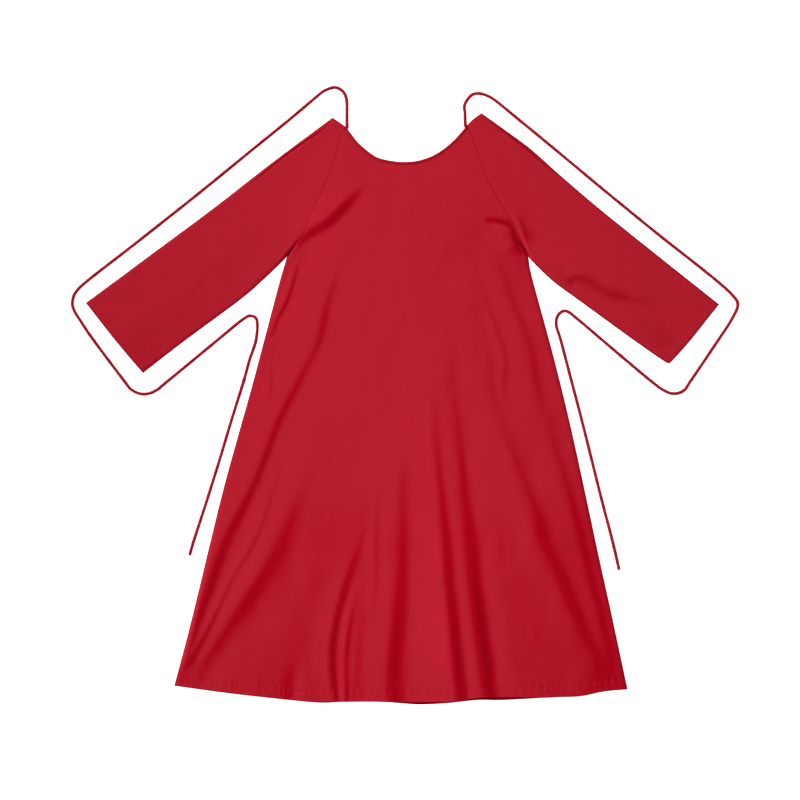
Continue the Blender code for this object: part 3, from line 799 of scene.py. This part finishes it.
def sleeve(side, finish):
    """A flattened tube of cloth, open at the raglan seam and at the cuff."""
    shape = SLEEVES[side]
    opening = joined(smooth_curve(shape["neck"], NECK_PART_SAMPLES), RAGLAN[side])
    fold = smooth_curve(shape["fold"])
    under = smooth_curve(shape["underarm"])
    cuff = smooth_curve(shape["cuff"])
    width, length = lengths_along(opening)[-1], lengths_along(fold)[-1]
    across = stops(width, FOLD_STOPS, UNDER_STOPS, SLEEVE_STEPS["across"])
    corner = lengths_along(opening)[NECK_PART_SAMPLES - 1] / width
    across[np.argmin(np.abs(across - corner))] = corner
    down = stops(length, RAGLAN_STOPS, CUFF_STOPS, SLEEVE_STEPS["down"])
    plan = filled(at_fractions(opening, across), at_fractions(cuff, across),
                  at_fractions(fold, down), at_fractions(under, down), across, down)
    plan = relaxed(plan, across * width, down * length)
    rows, columns = plan.shape[:2]
    points = plan.reshape(-1, 2)
    from_fold = gap_to(points, resample(fold, EDGE_SAMPLES))[0]
    from_under = gap_to(points, resample(under, EDGE_SAMPLES))[0]
    from_cuff = gap_to(points, resample(cuff, CREASE_SAMPLES))[0]
    run = points @ cuff_direction(cuff)
    relief = hem_relief(from_cuff, run, CUFF_DEPTH, CUFF_PUCKER)
    turn = quarter_round(np.minimum(from_fold, from_under))
    top = EDGE_HEIGHT + (front_top(points) + relief - EDGE_HEIGHT) * turn
    lie = BACK_LIE + CLOTH * underarm_share(points, side) - 0.3 * np.minimum(relief, 0)
    low = EDGE_HEIGHT + (lie - EDGE_HEIGHT) * turn
    upper = np.column_stack([points, top]).reshape(rows, columns, 3)
    lower = np.column_stack([points, low]).reshape(rows, columns, 3)[:, -2:0:-1]
    rings = np.concatenate([upper, lower], axis=1)
    faces = grid_quads(rows, rings.shape[1], closed=True)
    if side == "right":
        faces = faces[:, ::-1]
    # Painted shade in the creases, along the darts and along the fold, underarm and cuff edges
    shade = shades(points) + DART_SHADE / MM * dart_dip(points)
    for gap, edge in ((from_fold, "fold"), (from_under, "under"), (from_cuff, "cuff")):
        shade += edge_shade(gap, EDGE_SHADES[side][edge])
    shade = shade.reshape(rows, columns)
    shade = np.concatenate([shade, shade[:, -2:0:-1]], axis=1).ravel()
    length_way = cuff.mean(0) - opening.mean(0)
    length_way /= np.linalg.norm(length_way)
    axes = np.array([[-length_way[1], length_way[0]], length_way]).T
    beneath = (plan @ axes)[:, -2:0:-1] + UNDERSIDE_GRAIN
    grain = np.concatenate([plan @ axes, beneath], axis=1).reshape(-1, 2)
    piece = add_piece(f"sleeve_{side}", rings.reshape(-1, 3), faces, finish, "cloth", grain, shade,
                      CLOTH)
    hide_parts(f"{side}_sleeve")
    return piece


def cuff_direction(cuff):
    way = cuff[-1] - cuff[0]
    return way / np.linalg.norm(way)


# Binding

def neck_binding(finish):
    """The bound front neckline: a folded strip of cloth with a rounded upper edge."""
    line = resample(neck_band(0), BINDING_SAMPLES)
    inner = resample(neck_band(BINDING_WIDTH - BINDING_OVERLAP), BINDING_SAMPLES)
    turn = np.linspace(0, np.pi, 13)
    over = np.stack([0.5 - 0.5 * np.cos(turn), np.sin(turn) ** 0.6], axis=1)
    beneath = np.array([[0.8, -0.2], [0.5, -0.2], [0.2, -0.2]])
    section = np.vstack([over, beneath])
    share = section[:, 0][None, :, None]
    plan = (1 - share) * line[:, None] + share * inner[:, None]
    points = plan.reshape(-1, 2)
    run = np.repeat(lengths_along(line), len(section))
    wave = run / BINDING_WRINKLE["pitch"] + 0.6 * np.sin(run / BINDING_WRINKLE["wander"])
    wrinkle = BINDING_WRINKLE["height"] * np.sin(2 * np.pi * wave)
    base = FRONT_TOP - 0.5 * WALL + loft_height(points)
    lift = np.tile(section[:, 1], len(line))
    height = base + lift * (BINDING_RISE + wrinkle)
    faces = [face[::-1] for face in tube_faces(len(line), len(section))]
    round_strip = np.tile(np.linspace(0, 2 * BINDING_WIDTH, len(section)), len(line))
    grain = np.stack([run, round_strip], axis=1) @ BIAS
    # The binding's raised part is darkened by painted shade
    piece = add_piece("neck_band", np.column_stack([points, height]), faces, finish, "trim", grain,
                      np.clip(lift, 0, 1) * BINDING_SHADE)
    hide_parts("neck_binding")
    return piece


# Ties

def tie_route(side):
    route = spline(np.array(TIES[side], float) * MM, SPLINE_STEPS)
    route = resample(route, int(lengths_along(route)[-1] / TIE_STEP))
    settled = ease(lengths_along(route) / TIE_SETTLES_IN)
    return np.column_stack([route, TIE_LIE + TIE_START_RISE * (1 - settled)])


def tie(side, finish):
    """A narrow rouleau tie, a little flattened, that lies on the table with a bare free end."""
    route = tie_route(side)
    run = lengths_along(route)
    ahead = np.gradient(route, axis=0)
    ahead /= np.linalg.norm(ahead, axis=1)[:, None]
    beside = np.cross(ahead, [0, 0, 1.0])
    beside /= np.linalg.norm(beside, axis=1)[:, None]
    join = np.linalg.norm(route[:, :2] - np.array(TIE_JOINS[side]) * MM, axis=1)
    swell = 1 + TIE_JOIN_SWELL * np.exp(-(join / TIE_JOIN_REACH) ** 4)
    uneven_width = 1 + TIE_UNEVEN * np.sin(run / (11 * MM) + np.sin(run / (37 * MM)) * 2)
    tip = np.sqrt(np.clip((run[-1] - run) / TIE_ROUNDS_IN["end"], 0.12, 1))
    tip *= np.sqrt(np.clip(run / TIE_ROUNDS_IN["start"], 0.3, 1))
    size = swell * uneven_width * tip
    turn = np.linspace(0, 2 * np.pi, TIE_SIDES, endpoint=False)
    twist = 0.5 * np.sin(run / (150 * MM)) + 0.3
    angle = turn[None] + twist[:, None]
    groove = 1 - TIE_GROOVE * bell(np.angle(np.exp(1j * (turn - 1.2))), 0.3)[None]
    fold = 1 + TIE_FOLD * np.sin(run[:, None] / (2.6 * MM) + 2 * turn[None])
    wide = TIE_WIDTH / 2 * np.cos(angle) * size[:, None] * groove * fold
    high = TIE_THICK / 2 * np.sin(angle) * size[:, None] * groove * fold
    points = route[:, None] + wide[..., None] * beside[:, None]
    points[..., 2] = np.maximum(points[..., 2] + high, TIE_LOWEST)
    grain = np.stack([np.repeat(run, TIE_SIDES), np.tile(turn * TIE_WIDTH / 2, len(route))], axis=1)
    piece = add_piece(f"neck_tie_{side}", points.reshape(-1, 3), tube_faces(len(route), TIE_SIDES),
                      finish, "trim", grain @ BIAS)
    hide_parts(f"tie_{side}")
    return piece


# Stitches

def stitch_row(name, path, heights, finish):
    """A row of machine stitches along a plane path, each a short thread that dips at its ends."""
    run = lengths_along(path)
    starts = np.arange(STITCH["first"], run[-1] - STITCH["last"], STITCH["pitch"])
    profile = [(0.0, -1.0, 0.35), (0.25, 0.5, 1.0), (0.75, 0.5, 1.0), (1.0, -1.0, 0.35)]
    turn = np.linspace(0, 2 * np.pi, STITCH["sides"], endpoint=False)
    points, faces = [], []
    for start in starts:
        first = len(points) * STITCH["sides"]
        for share, lift, size in profile:
            place = start + share * STITCH["length"]
            x, y, z = (np.interp(place, run, values) for values in (*path.T, heights))
            ahead = at_fractions(path, [min((place + MM) / run[-1], 1)])[0] - np.array([x, y])
            ahead /= max(np.linalg.norm(ahead), 1e-9)
            side = np.array([-ahead[1], ahead[0], 0])
            radius = STITCH["radius"] * size
            middle = np.array([x, y, z + lift * STITCH["sink"]])
            up = np.array([0, 0, STITCH["flat"]])
            points.append(middle + radius * (np.cos(turn)[:, None] * side
                                             + np.sin(turn)[:, None] * up))
        faces.append(grid_quads(len(profile), STITCH["sides"], closed=True) + first)
    points = np.vstack(points)
    return add_piece(name, points, np.vstack(faces), finish, "trim", points[:, :2])


def stitched(name, path, run, depth, form, finish):
    """A row of stitches along a path that lies at a hem's depth."""
    relief = hem_relief(np.full(len(path), depth), run, depth, form)
    return stitch_row(name, path, front_top(path) + relief + STITCH["above"], finish)


def hem_stitches(finish):
    path = resample(offset(lifted_hem(HEM_EDGE), HEM_DEPTH), 900)[8:-8]
    return stitched("hem_stitches", path, path[:, 0], HEM_DEPTH, HEM_PUCKER, finish)


def cuff_stitches(side, finish):
    cuff = smooth_curve(SLEEVES[side]["cuff"])
    inward = CUFF_DEPTH if side == "left" else -CUFF_DEPTH
    path = resample(offset(cuff, inward), 300)[6:-6]
    run = path @ cuff_direction(cuff)
    return stitched(f"cuff_stitches_{side}", path, run, CUFF_DEPTH, CUFF_PUCKER, finish)


# Materials

class Nodes:
    """A new material, with short calls that add and link its nodes."""

    def __init__(self, name):
        self.material = bpy.data.materials.new(name)
        self.material.use_nodes = True
        self.tree = self.material.node_tree

    def feed(self, node, inputs):
        for socket, value in inputs.items():
            if isinstance(value, bpy.types.NodeSocket):
                self.tree.links.new(value, node.inputs[socket])
            else:
                node.inputs[socket].default_value = value

    def shaded(self, inputs):
        """The material, once its shader has these inputs."""
        self.feed(self.tree.nodes["Principled BSDF"], inputs)
        return self.material

    def add(self, kind, inputs=(), **settings):
        node = self.tree.nodes.new(kind)
        for name, value in settings.items():
            setattr(node, name, value)
        self.feed(node, dict(inputs))
        return node

    def maths(self, operation, *values):
        return self.add("ShaderNodeMath", dict(enumerate(values)), operation=operation).outputs[0]

    def scaled(self, vector, scale):
        node = self.add("ShaderNodeVectorMath", {0: vector, 1: scale}, operation="MULTIPLY")
        return node.outputs[0]

    def noise(self, vector, scale, detail=2.0, roughness=0.5):
        node = self.add("ShaderNodeTexNoise", {"Vector": vector, "Scale": scale, "Detail": detail,
                                               "Roughness": roughness})
        return node.outputs["Fac"]


def woven(name, colour, strength=1.0):
    """Plain-woven cloth: uneven crossing threads, faint mottling, painted shade on creases and folds.
    """
    make = Nodes(name)
    grain = make.add("ShaderNodeAttribute", attribute_name="grain").outputs["Vector"]
    # Painted shade: the shade attribute darkens the colour, and the deep one paints it a deeper red
    darkened = make.add("ShaderNodeAttribute", attribute_name="shade").outputs["Fac"]
    deep = make.add("ShaderNodeAttribute", attribute_name="deep").outputs["Fac"]
    deep_colour = (*(part * share for part, share in zip(colour, DEEP_SHARES)), 1)
    mixed = make.add("ShaderNodeMix", {0: deep, 6: colour, 7: deep_colour}, data_type="RGBA")
    turns = make.add("ShaderNodeSeparateXYZ", {0: make.scaled(grain, [2 * np.pi / THREAD_PITCH] * 3)})
    weft = make.maths("SINE", turns.outputs[0])
    warp = make.maths("SINE", turns.outputs[1])
    weave = make.maths("MULTIPLY", weft, warp)
    fine, long, flat = SLUB_SCALES
    slub_down = make.noise(make.scaled(grain, (fine, long, flat)), 1.0, 1.0)
    slub_over = make.noise(make.scaled(grain, (long, fine, flat)), 1.0, 1.0)
    slubs = make.maths("ADD", slub_down, slub_over)
    mottle = make.noise(grain, 38, 3.0)
    cloudy = make.noise(grain, 9, 1.0)
    shade = make.maths("MULTIPLY_ADD", slubs, SLUB_SHADE * strength, 1 - SLUB_SHADE)
    for value, depth in ((make.maths("SUBTRACT", mottle, 0.5), MOTTLE_SHADE * strength),
                         (make.maths("SUBTRACT", cloudy, 0.5), CLOUD_SHADE),
                         (weave, THREAD_SHADE), (darkened, -SHADE_DEPTH)):
        shade = make.maths("MULTIPLY_ADD", value, depth, shade)
    tinted = make.add("ShaderNodeHueSaturation", {"Color": mixed.outputs[2], "Value": shade})
    rough = make.maths("MULTIPLY_ADD", slubs, 0.16, 0.62)
    height = make.maths("MULTIPLY_ADD", slubs, 0.8, make.maths("MULTIPLY", weave, 0.5))
    height = make.maths("MULTIPLY_ADD", mottle, 1.2, height)
    bump = make.add("ShaderNodeBump", {"Strength": 0.5 * strength, "Distance": 0.12 * MM,
                                       "Height": height})
    return make.shaded({**CLOTH_SURFACE, "Base Color": tinted.outputs[0], "Roughness": rough,
                        "Normal": bump.outputs[0]})


def plain(name, colour, roughness, glow):
    """An even, pale, overexposed surface."""
    make = Nodes(name)
    place = make.add("ShaderNodeNewGeometry").outputs["Position"]
    shade = make.maths("MULTIPLY_ADD", make.noise(place, 3.0), 0.02, 0.99)
    tinted = make.add("ShaderNodeHueSaturation", {"Color": colour, "Value": shade})
    return make.shaded({"Base Color": tinted.outputs[0], "Roughness": roughness,
                        "Emission Color": (1, 1, 1, 1), "Emission Strength": glow})


# Surroundings

def camera():
    eye = placed("camera", bpy.data.cameras.new("camera"))
    eye.data.lens = LENS
    eye.data.sensor_width = SENSOR
    eye.location = (*VIEW_MIDDLE, VIEW_WIDTH * LENS / SENSOR)
    bpy.context.scene.camera = eye


def light():
    key = placed("key", bpy.data.lights.new("key", "SUN"))
    key.data.energy = KEY["strength"]
    key.data.angle = np.radians(KEY["spread"])
    key.location = 3 * towards_key()
    turn, rise = np.radians(KEY["azimuth"]), np.radians(KEY["elevation"])
    key.rotation_euler = (np.pi / 2 - rise, 0, turn + np.pi / 2)
    overhead = placed("overhead", bpy.data.lights.new("overhead", "AREA"))
    overhead.data.energy = OVERHEAD["power"]
    overhead.data.shape = "RECTANGLE"
    overhead.data.size = OVERHEAD["width"]
    overhead.data.size_y = OVERHEAD["length"]
    overhead.location = OVERHEAD["place"]
    world = bpy.data.worlds.new("studio")
    world.use_nodes = True
    world.node_tree.nodes["Background"].inputs["Color"].default_value = (1, 1, 1, 1)
    world.node_tree.nodes["Background"].inputs["Strength"].default_value = SKY
    bpy.context.scene.world = world
    bpy.context.scene.view_settings.view_transform = "Standard"


def floor():
    mesh = bpy.data.meshes.new("floor")
    corners = [(x * FLOOR_REACH, y * FLOOR_REACH, 0) for x, y in ((-1, -1), (1, -1), (1, 1), (-1, 1))]
    mesh.from_pydata(corners, [], [(0, 1, 2, 3)])
    mesh.materials.append(plain("pale_floor", FLOOR, 0.9, FLOOR_GLOW))
    table = placed("floor", mesh)


def dress():
    cloth = woven("red_cloth", RED)
    trim = woven("red_trim", TIE_RED)
    thread = woven("red_thread", THREAD_RED, 0.5)
    for side in TIES:
        tie(side, trim)
    back_panel, back_hem = back(cloth)
    front_panel, front_hem = front(cloth)
    binding = neck_binding(woven("red_binding", BINDING_RED))
    stitches = hem_stitches(thread)
    for side in SLEEVES:
        piece = sleeve(side, cloth)
        cuff_stitches(side, thread)


camera()
light()
floor()
dress()
